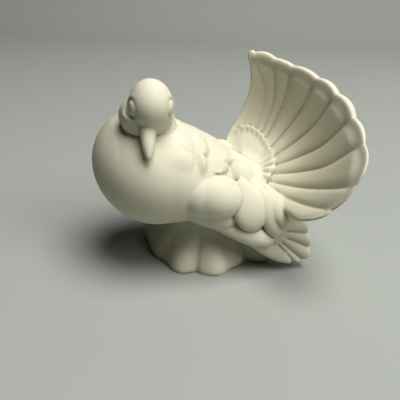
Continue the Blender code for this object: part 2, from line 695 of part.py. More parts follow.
def bisque():
    mat = bpy.data.materials.new("bisque")
    mat.use_nodes = True
    shade = mat.node_tree.nodes["Principled BSDF"]
    shade.inputs["Base Color"].default_value = (0.80, 0.76, 0.62, 1.0)
    shade.inputs["Roughness"].default_value = 0.62
    return mat


for old_object in list(bpy.data.objects):
    bpy.data.objects.remove(old_object, do_unlink=True)

dove = build_dove("dove_statue", VOXEL, SMOOTH_TURNS, FILLET_TURNS, FACE_LIMIT)
dove.data.materials.clear()
dove.data.materials.append(bisque())
for poly in dove.data.polygons:
    poly.use_smooth = False
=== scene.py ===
import math

import bmesh
import bpy
import numpy
from mathutils import Matrix, Vector


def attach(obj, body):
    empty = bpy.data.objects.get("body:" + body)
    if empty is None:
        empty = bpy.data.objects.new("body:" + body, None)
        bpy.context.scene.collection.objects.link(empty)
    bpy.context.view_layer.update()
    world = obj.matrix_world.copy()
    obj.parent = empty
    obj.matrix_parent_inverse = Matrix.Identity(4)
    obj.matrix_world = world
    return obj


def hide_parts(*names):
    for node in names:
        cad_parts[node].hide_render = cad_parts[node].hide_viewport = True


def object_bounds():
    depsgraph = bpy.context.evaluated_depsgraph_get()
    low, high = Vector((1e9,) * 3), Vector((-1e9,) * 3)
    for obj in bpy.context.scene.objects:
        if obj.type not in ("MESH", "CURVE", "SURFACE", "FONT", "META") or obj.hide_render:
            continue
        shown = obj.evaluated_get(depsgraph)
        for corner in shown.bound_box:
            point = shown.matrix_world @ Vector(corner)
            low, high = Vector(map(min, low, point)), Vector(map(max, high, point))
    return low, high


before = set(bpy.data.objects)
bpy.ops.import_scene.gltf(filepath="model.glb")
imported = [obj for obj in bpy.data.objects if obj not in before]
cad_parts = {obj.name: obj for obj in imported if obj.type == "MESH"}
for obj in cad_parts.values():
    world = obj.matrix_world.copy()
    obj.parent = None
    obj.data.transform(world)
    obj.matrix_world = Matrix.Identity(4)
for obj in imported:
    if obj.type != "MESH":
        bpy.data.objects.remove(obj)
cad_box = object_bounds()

# The dove's finished surface, its bisque, and a plain studio.
# Metres, in the frame of the solids: X breast to tail, Z up, the bird's left is minus Y.

# grain of the finished surface, turns of smoothing in all and near the fillets, most triangles
FULL_GRAIN = (0.00045, 4, 36, 196000)

# size of the figure from the breast to the rim of the tail
FIGURE_LENGTH = 0.1286
# the carving is drawn in shares of that length
SHARE = FIGURE_LENGTH / 128.6

# mound: reach of the lobed rim by angle, degrees from the tail end
MOUND_RIM = (
    (-180.0, 35.8), (-170.0, 34.8), (-160.0, 32.3), (-154.0, 32.3), (-140.0, 34.2), (-132.0, 33.4),
    (-120.0, 28.6), (-114.0, 29.7), (-100.0, 31.1), (-90.0, 30.1), (-80.0, 27.2), (-60.0, 26.8),
    (-49.5, 27.0), (-45.0, 33.0), (-36.0, 38.6), (-20.0, 36.6), (-6.0, 38.8), (10.0, 36.0),
    (28.0, 38.0), (46.0, 33.8), (62.0, 33.4), (80.0, 30.4), (98.0, 31.4), (118.0, 32.6),
    (132.0, 38.4), (145.0, 43.0), (155.0, 41.0), (166.0, 37.6), (180.0, 35.8))
MOUND_CENTRE = (1.0, 4.5)
MOUND_NECK = (19.5, 13.5)
MOUND_NECK_CENTRE = (-1.0, 0.0)
# height, and how far the side has drawn in from the rim to the neck
MOUND_PROFILE = ((-3.0, 0.03), (0.0, 0.0), (2.2, -0.02), (4.5, 0.02), (6.5, 0.08), (9.5, 0.20),
                 (14.0, 0.42), (20.0, 0.68), (27.0, 0.88), (34.0, 1.0), (42.0, 1.08))

# body: a round breast that runs back into the rump
BREAST_RADIUS = 32.6
BREAST_CENTRE = (-32.7, 0.0, 61.0)
BODY_TOP = ((-54.0, 85.68), (-50.0, 88.5), (-44.0, 90.8), (-38.0, 91.0), (-32.0, 89.6), (-25.0, 86.0),
            (-16.0, 81.2), (-6.0, 76.2), (3.0, 70.6), (8.0, 67.4), (12.0, 64.6), (17.0, 61.2), (22.0, 58.4),
            (28.0, 56.4))
BODY_LOW = ((-20.0, 29.0), (-8.0, 29.5), (4.0, 31.5), (16.0, 37.0), (26.0, 43.0))
BODY_WIDE = ((-22.0, 31.8), (-10.0, 29.2), (2.0, 25.8), (12.0, 21.5), (20.0, 17.5), (28.0, 12.0))
BODY_END = (34.0, 54.5, 50.0, 3.0)

# rows of back feathers: start, edge of the upper lobe, edge of the lower lobe, notch depth, height
MANTLE_ROWS = ((-34.0, -17.1, -18.1, 1.6, 1.6), (-16.5, -8.5, -11.0, 3.0, 2.7), (-8.0, 5.2, 1.8, 3.4, 3.2))
# angles down from the ridge of the back: where the rows begin on the near and on the far side,
# crest of the upper lobes, notch, foot of the last row
MANTLE_NEAR_START = 0.15
MANTLE_FAR_START = 0.50
MANTLE_CREST = 0.55
MANTLE_NOTCH = 0.77
MANTLE_FOOT = 1.07
# share of their height that the rows keep on the ridge, and how deep the notches cut
MANTLE_RIDGE_SHARE = 0.12
MANTLE_DIP = 0.45

# head, turned to the side of the bird and tucked down
HEAD_YAW = -95.0
HEAD_DIP = 45.0
CROWN_CENTRE = (-36.9, -18.0, 98.6)
CROWN_RADII = (11.6, 10.2, 11.6)
CHEEK_CENTRE = (-38.6, -13.6, 92.2)
CHEEK_RADII = (10.6, 12.9, 10.8)
NAPE_CENTRE = (-36.0, -6.0, 84.0)
NAPE_RADII = (13.5, 14.0, 13.0)
NECK_CENTRE = (-37.0, -8.5, 90.3)
NECK_RADII = (12.5, 11.8, 10.8)
BEAK_ROOT = (-38.9, -20.0, 92.5)
BEAK_TIP = (-40.2, -31.2, 76.8)
BEAK_RADIUS = 4.4
# eye, from the middle of the crown: along the beak, to the side, up
EYE_PLACE = (3.5, 9.2, 3.2)
EYE_RADIUS = 3.0
LID_RADIUS = 3.5
BROW_RADIUS = 4.7

# tail fan: a cup whose axis leans to the bird's left
FAN_ROOT = (17.7, 0.0, 50.7)
FAN_RADIUS = 60.0
FAN_AXIS = Vector((0.8961, 0.0652, 0.4390))
FAN_SIDE = Vector((-0.2620, 0.8762, 0.4045))
FAN_FACE = Vector((-0.3583, -0.4775, 0.8023))
FAN_BOWL = 0.10
FAN_CURL = 0.336
FAN_INNER = 0.12
# the outer part of the fan leans out towards this point, by this much at the rim
FAN_LEAN_TO = (-65.2, -212.4, 158.0)
FAN_LEAN = 9.0
# reach at which the lean begins, and the reach over which it grows
FAN_LEAN_START = 0.42
FAN_LEAN_SPAN = 0.62
FAN_ROOT_THICKNESS = 6.0
FAN_RIM_THICKNESS = 4.3
FAN_NEAR_RIM_THICKNESS = 2.4
# angles of the grooves between the tail feathers, far edge to near edge
FAN_GROOVES = (-54.5, -50.0, -39.0, -26.5, -11.5, 4.5, 21.5, 38.5, 55.5, 69.5, 80.8)
# how far the grooves swing round by the time they meet the rim
FAN_GROOVE_SWING = (0.0, 0.0, 0.0, -2.1, -1.7, -3.6, -3.6, -4.0, 0.7, 0.0, 0.0)
# reach of the rim at each groove, and how much further each feather reaches between
FAN_NOTCH = (1.035, 1.045, 1.022, 1.005, 1.002, 1.004, 1.010, 1.038, 1.032, 0.956, 0.770)
FAN_BULGE = (0.015, 0.014, 0.005, 0.010, 0.016, 0.018, 0.016, 0.034, 0.023, 0.055)
FAN_RIB = (0.15, 0.3, 0.7, 1.4, 1.9, 2.1, 2.1, 2.0, 1.8, 1.2)
# the far edge of the fan: angle by reach
FAN_FAR_EDGE = (
    (0.12, -100.0), (0.30, -90.0), (0.40, -84.0), (0.486, -73.5), (0.566, -64.5), (0.648, -58.8),
    (0.721, -55.8), (0.782, -53.4), (0.841, -52.4), (0.916, -52.2), (0.979, -52.9), (1.049, -54.2))

# rosette of tail coverts: reach of its edge on the cup by angle
ROSETTE_EDGE = (
    (-74.0, 0.46), (-64.0, 0.49), (-58.0, 0.505), (-50.0, 0.50), (-43.0, 0.48), (-33.0, 0.44), (-22.0, 0.397),
    (-12.0, 0.37), (-2.0, 0.358), (10.0, 0.33), (22.0, 0.32), (34.0, 0.302), (47.0, 0.285), (62.0, 0.275),
    (70.0, 0.26), (80.0, 0.20))
# angles of the notches between the coverts
ROSETTE_NOTCHES = (
    -74.0, -65.0, -57.0, -50.0, -43.0, -36.0, -28.0, -20.0, -11.7, 6.5, 22.0, 42.0, 60.5, 76.0)
ROSETTE_STEP = 1.2

# wing: shoulder, then one row per covert: root, middle, tip, width, thickness
SHOULDER_CENTRE = (-5.6, -25.0, 51.2)
SHOULDER_RADII = (15.2, 11.2, 12.0)
SHOULDER_TILT = 20.0
FLANK_BALLS = (((10.0, -18.0, 44.0), (19.0, 11.0, 14.0)), ((15.0, -16.0, 50.0), (10.0, 9.0, 7.0)),
               ((26.0, -19.5, 38.5), (8.0, 8.0, 6.0)))
SWELL_CENTRE = (-10.6, -22.6, 51.5)
SWELL_RADII = (17.0, 12.0, 12.5)
SCAPULAR_CENTRE = (9.8, -17.6, 59.4)
SCAPULAR_RADII = (8.2, 6.8, 4.6)
SCAPULAR_FACE = (0.25, -0.70, 0.66)
SCAPULAR_RUN = (0.62, -0.42, -0.66)
ARM_LEAVES = (
    ((-30.0, -19.0, 48.0), (-14.0, -23.5, 43.5), (6.5, -26.5, 36.9), 16.8, 12.0),
    ((2.0, -17.0, 40.0), (18.0, -20.0, 33.0), (38.0, -25.5, 20.0), 24.0, 11.0))
ARM_FACE = (0.05, -1.0, 0.0)
COVERTS = (
    ((8.0, -25.0, 31.0), (21.6, -26.8, 20.0), (41.0, -28.6, 5.8), 10.0, 6.5),
    ((-6.0, -23.5, 37.0), (10.0, -28.0, 30.6), (27.6, -30.2, 22.6), 13.5, 9.0),
    ((18.5, -18.0, 51.5), (28.6, -28.2, 43.6), (32.4, -32.0, 32.0), 13.0, 8.0),
    ((12.5, -21.5, 55.0), (22.6, -28.6, 42.8), (28.2, -31.6, 26.6), 12.5, 7.5),
    ((3.5, -24.0, 55.0), (11.4, -29.2, 46.0), (15.8, -30.8, 31.8), 19.5, 8.5))
# way the broad face of a covert is turned
COVERT_FACE = (
    (0.15, -1.0, 0.25), (0.15, -1.0, 0.25), (0.25, -0.75, 0.60), (0.15, -1.0, 0.30), (0.15, -1.0, 0.25))
# flight feathers: a small fan in the plane of the wing, from the point where its grooves meet
FLIGHT_ROOT = (23.9, -26.2, 29.0)
FLIGHT_GROOVES = (-60.0, -52.2, -43.6, -28.2, -11.0, 9.0)
# its outline: reach by angle
FLIGHT_EDGE = (
    (-60.0, 28.6), (-57.0, 29.3), (-51.8, 30.2), (-48.6, 32.2), (-42.0, 34.4), (-36.0, 35.3), (-31.0, 33.4),
    (-27.4, 31.4), (-22.3, 30.2), (-15.0, 27.8), (-9.8, 26.2), (-1.0, 24.6), (9.0, 22.9))
FLIGHT_THICKNESS = 5.2
FLIGHT_RIB = 1.3

# bisque: its two close tones, the darker tone painted into creases as shade, and the bends between which it
# fades
CLAY_DARK = (0.640, 0.618, 0.498, 1.0)
CLAY_LIGHT = (0.675, 0.658, 0.545, 1.0)
PAINTED_CREASE_SHADE = (0.60, 0.57, 0.50, 1.0)
CREASE_SHARP = 0.455
CREASE_FLAT = 0.498
TOOTH_DEPTH = 0.00006

# studio, in metres: a pale floor that runs flat and sweeps up behind, turned with the camera
FLOOR_TONE = (0.385, 0.404, 0.382, 1.0)
FLOOR_FRONT = -1.2
FLOOR_BACK = 0.75
FLOOR_HALF_WIDTH = 1.8
SWEEP_RADIUS = 0.35
SWEEP_STEPS = 12
WALL_TOP = 1.6
FLOOR_TURN = -15.0
# round lamps: place, width, power, colour
LAMP_AIM = (0.0, 0.0, 0.05)
LAMPS = {
    "overhead": ((0.30, -0.43, 1.74), 1.15, 27.5, (1.0, 0.99, 0.975)),
    "front": ((0.80, -0.92, 1.05), 0.8, 6.0, (1.0, 0.985, 0.96))}
ROOM_TONE = (0.95, 0.98, 1.0, 1.0)
ROOM_LIGHT = 0.01
# the photo's viewing angle: 29 degrees down, 15 degrees round towards the breast, rolled 2 degrees
CAMERA_PLACE = (-0.0652, -0.2124, 0.1580)
CAMERA_ACROSS = (0.96857, -0.24645, 0.03367)
CAMERA_AHEAD = (0.23139, 0.84309, -0.48545)
CAMERA_LENS = 39.29


def smooth(t):
    t = min(1.0, max(0.0, t))
    return t * t * (3.0 - 2.0 * t)


def lerp(a, b, t):
    return a + (b - a) * t


def table(x, rows):
    # smooth interpolation through a few named stations
    if x <= rows[0][0]:
        return rows[0][1]
    for k in range(len(rows) - 1):
        x0, v0 = rows[k]
        x1, v1 = rows[k + 1]
        if x <= x1:
            left = rows[k - 1] if k > 0 else rows[k]
            right = rows[k + 2] if k + 2 < len(rows) else rows[k + 1]
            m0 = (v1 - left[1]) / (x1 - left[0])
            m1 = (right[1] - v0) / (right[0] - x0)
            h = x1 - x0
            t = (x - x0) / h
            a = 2 * t ** 3 - 3 * t ** 2 + 1
            b = t ** 3 - 2 * t ** 2 + t
            c = -2 * t ** 3 + 3 * t ** 2
            d = t ** 3 - t ** 2
            return a * v0 + b * h * m0 + c * v1 + d * h * m1
    return rows[-1][1]


def add_loft(bm, rings):
    # closed tube through rings of equal count, ends closed to their middles
    rows = [[bm.verts.new(p * SHARE) for p in ring] for ring in rings]
    n = len(rows[0])
    for a, b in zip(rows[:-1], rows[1:]):
        for i in range(n):
            j = (i + 1) % n
            bm.faces.new((a[i], a[j], b[j], b[i]))
    for row, flip in ((rows[0], True), (rows[-1], False)):
        mid = Vector((0, 0, 0))
        for v in row:
            mid += v.co
        c = bm.verts.new(mid / n)
        for i in range(n):
            j = (i + 1) % n
            if flip:
                bm.faces.new((row[j], row[i], c))
            else:
                bm.faces.new((row[i], row[j], c))


def add_slab(bm, front, back):
    # closed sheet of feathers between a grid of points on its face and one on its back
    faces = [[bm.verts.new(p * SHARE) for p in row] for row in front]
    backs = [[bm.verts.new(p * SHARE) for p in row] for row in back]
    last = len(faces) - 1
    side = len(faces[0]) - 1
    for a, b, c, d in zip(faces[:-1], faces[1:], backs[:-1], backs[1:]):
        for i in range(side):
            bm.faces.new((a[i], a[i + 1], b[i + 1], b[i]))
            bm.faces.new((d[i], d[i + 1], c[i + 1], c[i]))
        bm.faces.new((a[0], b[0], d[0], c[0]))
        bm.faces.new((b[side], a[side], c[side], d[side]))
    for i in range(side):
        bm.faces.new((faces[0][i + 1], faces[0][i], backs[0][i], backs[0][i + 1]))
        bm.faces.new((faces[last][i], faces[last][i + 1], backs[last][i + 1], backs[last][i]))


def add_ball(bm, centre, radii, axes):
    # ellipsoid with its own axes, from a unit sphere
    turn = Matrix((axes[0], axes[1], axes[2])).transposed().to_4x4()
    size = Matrix.Diagonal((radii[0] * SHARE, radii[1] * SHARE, radii[2] * SHARE, 1.0))
    place = Matrix.Translation(Vector(centre) * SHARE) @ turn @ size
    ball = bmesh.new()
    bmesh.ops.create_uvsphere(ball, u_segments=40, v_segments=26, radius=1.0, matrix=place)
    mesh = bpy.data.meshes.new("ball")
    ball.to_mesh(mesh)
    ball.free()
    bm.from_mesh(mesh)
    bpy.data.meshes.remove(mesh)


WORLD_AXES = (Vector((1, 0, 0)), Vector((0, 1, 0)), Vector((0, 0, 1)))


def add_petal(bm, root, middle, tip, width, thick, face, waist=0.75, blunt=0.62):
    # feather: a rounded leaf along a bent line from root to tip, bulging towards face
    along_count = 20
    around_count = 28
    rings = []
    for k in range(along_count + 1):
        t = 1.0 - (1.0 - k / along_count) ** 1.6
        # bent line that passes through the middle point half way
        bend = middle * 2.0 - (root + tip) * 0.5
        mid = root * (1 - t) ** 2 + bend * (2 * t * (1 - t)) + tip * t ** 2
        axis = ((bend - root) * (1 - t) + (tip - bend) * t).normalized()
        out = (face - axis * face.dot(axis)).normalized()
        side = axis.cross(out)
        if t < blunt:
            w = lerp(waist, 1.0, smooth(t / blunt))
        else:
            w = math.sqrt(max(0.0, 1.0 - ((t - blunt) / (1.0 - blunt)) ** 2.2))
        w = max(w, 0.03)
        h = max(w ** 0.7, 0.05)
        ring = []
        for i in range(around_count):
            b = 2 * math.pi * i / around_count
            ring.append(mid + side * (0.5 * width * w * math.cos(b)) + out * (0.5 * thick * h * math.sin(b)))
        rings.append(ring)
    add_loft(bm, rings)


def body_ring(x):
    # centre height, half width and half height of the body at x
    r = BREAST_RADIUS
    cx, cy, cz = BREAST_CENTRE
    end, end_top, end_low, end_wide = BODY_END
    out = max(0.0, (cx - x) / r)
    s = r * math.sqrt(max(0.0, 1.0 - out * out))
    # the breast is a ball, and the nape in its shoulder is a little lower
    top = cz + 2.0 * out * out + s * (1.0 - 0.03 * out)
    if x > BODY_TOP[0][0]:
        top = table(x, BODY_TOP + ((end, end_top),))
    low = cz + 2.0 * out * out - s * (1.0 - 0.03 * out)
    wide = s
    if x > cx:
        low = table(x, ((cx, cz - r),) + BODY_LOW + ((end, end_low),))
        wide = table(x, ((cx, r),) + BODY_WIDE + ((end, end_wide),))
    return 0.5 * (top + low), wide, 0.5 * (top - low)


def mantle(x, down, first):
    # height of the overlapping rows of back feathers, two lobes to a side
    height = 0.0
    side = lerp(MANTLE_RIDGE_SHARE, 1.0, smooth((down - first) / 0.40))
    for row, (start, upper, lower, notch, step) in enumerate(MANTLE_ROWS):
        last = row == len(MANTLE_ROWS) - 1
        foot = 1.0
        if down < MANTLE_NOTCH:
            past = max(0.0, (down - MANTLE_CREST) / (MANTLE_NOTCH - MANTLE_CREST))
            edge = upper - notch * past ** 3
            dip = MANTLE_DIP * past ** 3
        else:
            past = (down - MANTLE_NOTCH) / (MANTLE_FOOT - MANTLE_NOTCH)
            edge = lower - (6.0 if last else 1.0) * past ** 3
            dip = MANTLE_DIP * max(0.0, 1.0 - past * 3.5) ** 2
            if last:
                foot = (1.0 - 0.35 * smooth(past)) * (1.0 - smooth((past - 0.93) / 0.10))
            else:
                foot = 1.0 - smooth((past - 0.5) / 0.9)
        run = (x - start) / (edge - start)
        # the lobes part only towards their edge
        dome = foot * (1.0 - dip * smooth((run - 0.45) / 0.45))
        rise = smooth(run * 1.15)
        curl = 1.0 - 0.35 * smooth((run - 0.70) / 0.30)
        drop = 1.0 - smooth((x - edge) / 0.5)
        height = max(height, step * side * dome * rise * curl * drop)
    return height


def add_body(bm):
    cx = BREAST_CENTRE[0]
    front_count = 24
    along_count = 110
    around_count = 180
    xs = []
    for k in range(1, front_count + 1):
        xs.append(cx - BREAST_RADIUS * math.cos(0.5 * math.pi * k / front_count))
    for k in range(1, along_count + 1):
        xs.append(lerp(cx, BODY_END[0], k / along_count))
    rings = []
    for x in xs:
        z, w, h = body_ring(x)
        ring = []
        for i in range(around_count):
            b = 2 * math.pi * i / around_count
            down = abs(math.atan2(math.cos(b), math.sin(b)))
            first = MANTLE_FAR_START if math.cos(b) > 0 else MANTLE_NEAR_START
            lift = mantle(x, down, first)
            ring.append(Vector((x, (w + lift) * math.cos(b), z + (h + lift) * math.sin(b))))
        rings.append(ring)
    add_loft(bm, rings)


def head_axes():
    yaw = math.radians(HEAD_YAW)
    dip = math.radians(HEAD_DIP)
    fwd = Vector((math.cos(yaw) * math.cos(dip), math.sin(yaw) * math.cos(dip), -math.sin(dip)))
    side = Vector((-math.sin(yaw), math.cos(yaw), 0.0))
    up = side.cross(fwd)
    if up.z < 0:
        up = -up
    return fwd, side, up


def eye_places():
    fwd, side, up = head_axes()
    places = []
    for hand in (-1, 1):
        ahead, out, above = EYE_PLACE
        places.append(Vector(CROWN_CENTRE) + fwd * ahead + side * (hand * out) + up * above)
    return places


def add_head_balls(bm):
    axes = head_axes()
    add_ball(bm, CROWN_CENTRE, CROWN_RADII, axes)
    add_ball(bm, CHEEK_CENTRE, CHEEK_RADII, axes)
    # neck sinks into the breast
    add_ball(bm, NECK_CENTRE, NECK_RADII, WORLD_AXES)
    add_ball(bm, NAPE_CENTRE, NAPE_RADII, WORLD_AXES)


def add_beak(bm):
    side = head_axes()[1]
    root = Vector(BEAK_ROOT)
    run = Vector(BEAK_TIP) - root
    lift = side.cross(run).normalized()
    along_count = 18
    around_count = 24
    rings = []
    for k in range(along_count + 1):
        t = 1.0 - (1.0 - k / along_count) ** 1.5
        r = BEAK_RADIUS * (1.0 - 0.38 * t) * math.sqrt(max(0.0, 1.0 - max(0.0, (t - 0.5) / 0.5) ** 2))
        r = max(r, 0.15)
        mid = root + run * t
        ring = []
        for i in range(around_count):
            b = 2 * math.pi * i / around_count
            ring.append(mid + side * (r * math.cos(b)) + lift * (r * 1.05 * math.sin(b)))
        rings.append(ring)
    add_loft(bm, rings)


def cup(phi, rho, lift=0.0):
    # place on the tail cup, phi in degrees across the fan, rho along a feather
    a = math.radians(phi)
    out = FAN_AXIS * math.cos(a) - FAN_SIDE * math.sin(a)
    slope = 2 * FAN_BOWL * rho + 3 * FAN_CURL * rho * rho
    p = Vector(FAN_ROOT) + out * (FAN_RADIUS * rho)
    p = p + FAN_FACE * (FAN_RADIUS * (FAN_BOWL * rho ** 2 + FAN_CURL * rho ** 3))
    # its near edge leans less, because it runs into the wing
    lean = smooth((rho - FAN_LEAN_START) / FAN_LEAN_SPAN) * (1.0 - 0.85 * smooth((phi - 48.0) / 28.0))
    towards = (Vector(FAN_LEAN_TO) - p).normalized()
    steep = max(0.0, lean * (1.0 - lean)) ** 0.75
    slope = slope + 0.85 * FAN_LEAN * 6.0 * steep / (FAN_LEAN_SPAN * FAN_RADIUS) * 0.8
    normal = (FAN_FACE - out * slope).normalized()
    return p + towards * (FAN_LEAN * lean) + normal * lift


def groove_angle(k, rho):
    if k == 0:
        return table(rho, FAN_FAR_EDGE)
    base = FAN_GROOVES[k] + FAN_GROOVE_SWING[k] * smooth((rho - 0.70) / 0.30)
    if k == 1:
        return base + 9.0 * smooth((1.02 - rho) / 0.26)
    if k == 2:
        return base + 5.0 * smooth((1.02 - rho) / 0.30)
    return base


def add_fan(bm):
    across_count = 12
    along_count = 44
    feathers = len(FAN_BULGE)
    front = []
    back = []
    for j in range(along_count + 1):
        s = 1.0 - (1.0 - j / along_count) ** 1.4
        face_row = []
        back_row = []
        for k in range(feathers):
            for i in range(across_count + (1 if k == feathers - 1 else 0)):
                u = i / across_count
                e = abs(2 * u - 1)
                reach = lerp(FAN_NOTCH[k], FAN_NOTCH[k + 1], u) + FAN_BULGE[k] * (1.0 - e ** 2)
                rho = lerp(FAN_INNER, reach, s)
                phi = lerp(groove_angle(k, rho), groove_angle(k + 1, rho), u)
                near = smooth((phi - 5.0) / 45.0)
                # ribs swell along the feather and die away in the rolled rim
                swell = smooth((rho - 0.16) / 0.30) * (1.0 - 0.75 * smooth((s - 0.90) / 0.07))
                rib = FAN_RIB[k] * (1.0 - e ** 2.8) * swell
                lip = 0.8 * smooth((s - 0.92) / 0.05) * (1.0 - near)
                rim = lerp(FAN_RIM_THICKNESS, FAN_NEAR_RIM_THICKNESS, near)
                thick = lerp(FAN_ROOT_THICKNESS, rim, smooth(rho))
                # the far rim is rolled, the near rim thins to an edge from behind
                rolled = math.sqrt(max(0.0, 1.0 - max(0.0, (s - 0.975) / 0.025) ** 2))
                thinned = math.sqrt(max(0.0, 1.0 - max(0.0, (s - 0.84) / 0.16) ** 2))
                face = rib + lip - 0.22 * thick * (1.0 - rolled)
                behind = (thick + 0.6 * rib * (1.0 - s ** 8)) * lerp(lerp(0.7, 1.0, rolled), thinned, near)
                face_row.append(cup(phi, rho, face))
                back_row.append(cup(phi, rho, min(face - 0.7, -behind)))
        front.append(face_row)
        back.append(back_row)
    add_slab(bm, front, back)


def add_rosette(bm):
    # ring of tail coverts with a raised scalloped border and a dimple in each lobe
    across_count = 10
    along_count = 30
    lobes = len(ROSETTE_NOTCHES) - 1
    front = []
    back = []
    for j in range(along_count + 1):
        s = 1.0 - (1.0 - j / along_count) ** 1.6
        face_row = []
        back_row = []
        for k in range(lobes):
            for i in range(across_count + (1 if k == lobes - 1 else 0)):
                u = i / across_count
                e = abs(2 * u - 1)
                phi = lerp(ROSETTE_NOTCHES[k], ROSETTE_NOTCHES[k + 1], u)
                near = smooth((phi + 20.0) / 50.0)
                edge = table(phi, ROSETTE_EDGE) + 0.008 - 0.018 * e ** 2.2
                rho = lerp(0.02, edge, s)
                inward = (edge - rho) * FAN_RADIUS
                bead = 0.4 * (1.0 - near) * math.exp(-((inward - 1.2) / 1.3) ** 2)
                dimple = 0.3 * (1.0 - e ** 2) * math.exp(-((inward - 4.2) / 2.2) ** 2)
                ridge = (1.0 - e ** 1.8) * math.exp(-((inward - 3.6) / 4.6) ** 2)
                lift = ROSETTE_STEP + bead - dimple * (1.0 - near) + 2.6 * near * ridge
                lift = lift + 4.6 * smooth(1.0 - rho / 0.26) + 2.0 * smooth((phi - 15.0) / 30.0)
                # the far end of the ring dies away on the cup
                lift = lerp(0.2, lift, smooth((phi + 74.0) / 16.0))
                face_row.append(cup(phi, rho, lift))
                back_row.append(cup(phi, rho, -1.5))
        front.append(face_row)
        back.append(back_row)
    add_slab(bm, front, back)


def add_flight(bm, hand):
    # flight feathers side by side under the coverts
    across_count = 10
    along_count = 24
    feathers = len(FLIGHT_GROOVES) - 1
    rx, ry, rz = FLIGHT_ROOT
    front = []
    back = []
    for j in range(along_count + 1):
        s = 1.0 - (1.0 - j / along_count) ** 1.4
        face_row = []
        back_row = []
        for k in range(feathers):
            for i in range(across_count + (1 if k == feathers - 1 else 0)):
                u = i / across_count
                e = abs(2 * u - 1)
                angle = lerp(FLIGHT_GROOVES[k], FLIGHT_GROOVES[k + 1], u)
                reach = table(angle, FLIGHT_EDGE) - 0.9 * e ** 5
                r = lerp(1.0, reach, s)
                a = math.radians(angle)
                rib = FLIGHT_RIB * (1.0 - e ** 2.4) * smooth(r / 8.0)
                round_off = math.sqrt(max(0.0, 1.0 - max(0.0, (s - 0.92) / 0.08) ** 2))
                out = ry - 0.10 * r - rib + 1.6 * (1.0 - round_off)
                into = ry - 0.10 * r + FLIGHT_THICKNESS * lerp(1.3, 0.75, s) * lerp(0.5, 1.0, round_off)
                x = rx + r * math.cos(a)
                z = rz + r * math.sin(a)
                face_row.append(Vector((x, out * hand, z)))
                back_row.append(Vector((x, into * hand, z)))
        front.append(face_row)
        back.append(back_row)
    add_slab(bm, front, back)


def sided(place, hand):
    # a place or a direction on the left wing, or the same on the right wing
    x, y, z = place
    return Vector((x, y * hand, z))


def add_wing_balls(bm):
    tilt = math.radians(SHOULDER_TILT)
    leaned = (Vector((math.cos(tilt), 0, -math.sin(tilt))), Vector((0, 1, 0)),
              Vector((math.sin(tilt), 0, math.cos(tilt))))
    for hand in (1, -1):
        add_ball(bm, sided(SHOULDER_CENTRE, hand), SHOULDER_RADII, leaned)
        # swelling of the breast that leads into the shoulder
        add_ball(bm, sided(SWELL_CENTRE, hand), SWELL_RADII, leaned)
        # flank between wing, rump and tail
        for centre, radii in FLANK_BALLS:
            add_ball(bm, sided(centre, hand), radii, WORLD_AXES)
        # scapular feather beside the rump
        leaf = sided(SCAPULAR_FACE, hand).normalized()
        along = sided(SCAPULAR_RUN, hand)
        along = (along - leaf * along.dot(leaf)).normalized()
        add_ball(bm, sided(SCAPULAR_CENTRE, hand), SCAPULAR_RADII, (along, leaf.cross(along), leaf))


def add_wings(bm):
    for hand in (1, -1):
        # arm of the wing, whose lower edge hangs over the mound, and the flesh behind the flight feathers
        out = sided(ARM_FACE, hand)
        for root, middle, tip, width, thick in ARM_LEAVES:
            spots = [sided(spot, hand) for spot in (root, middle, tip)]
            add_petal(bm, *spots, width, thick, out, waist=0.6, blunt=0.75)
        for (root, middle, tip, width, thick), face in zip(COVERTS, COVERT_FACE):
            spots = [sided(spot, hand) for spot in (root, middle, tip)]
            add_petal(bm, *spots, width, thick, sided(face, hand))
        add_flight(bm, hand)


def add_mound(bm):
    around_count = 160
    rings = []
    for z, drawn in MOUND_PROFILE:
        cx = lerp(MOUND_CENTRE[0], MOUND_NECK_CENTRE[0], drawn)
        cy = lerp(MOUND_CENTRE[1], MOUND_NECK_CENTRE[1], drawn)
        ring = []
        for i in range(around_count):
            b = 2 * math.pi * i / around_count - math.pi
            rim = table(math.degrees(b), MOUND_RIM)
            neck = 1.0 / math.hypot(math.cos(b) / MOUND_NECK[0], math.sin(b) / MOUND_NECK[1])
            r = lerp(rim, neck, drawn)
            ring.append(Vector((cx + r * math.cos(b), cy + r * math.sin(b), z)))
        rings.append(ring)
    add_loft(bm, rings)


# where one form runs softly into the next: place and radius
FILLETS = (
    ((-18.5, -27.0, 51.0), 9.0), ((-12.0, -27.0, 39.0), 9.0),
    ((-18.5, 27.0, 51.0), 9.0), ((-12.0, 27.0, 39.0), 9.0),
    ((24.0, -18.5, 46.5), 5.5), ((24.0, 18.5, 46.5), 5.5),
    ((28.0, -26.0, 44.5), 6.5), ((28.0, 26.0, 44.5), 6.5),
    ((31.0, -33.0, 43.5), 5.0), ((31.0, 33.0, 43.5), 5.0),
    ((-39.0, -26.5, 92.0), 6.5), ((-33.0, -8.0, 104.0), 7.0),
    ((-50.0, -10.0, 84.0), 7.0), ((-25.0, -10.0, 84.0), 8.0), ((-37.0, 4.0, 93.0), 9.0),
    ((-37.0, -4.0, 101.0), 8.0), ((-30.0, 4.0, 90.0), 8.0), ((-45.0, 2.0, 88.0), 8.0),
    ((15.0, -22.0, 56.0), 6.5), ((15.0, 22.0, 56.0), 6.5),
    ((22.0, -14.0, 50.0), 5.0), ((16.0, -2.0, 63.0), 5.0))


def nearness(points, spot, radius):
    # weight from 1 at the spot to 0 well outside the radius
    away = points - numpy.array(spot) * SHARE
    return numpy.exp(-(away ** 2).sum(axis=1) / (radius * SHARE) ** 2)


def read_points(mesh):
    flat = numpy.empty(len(mesh.vertices) * 3, dtype=numpy.float32)
    mesh.vertices.foreach_get("co", flat)
    return flat.reshape(-1, 3).astype(float)


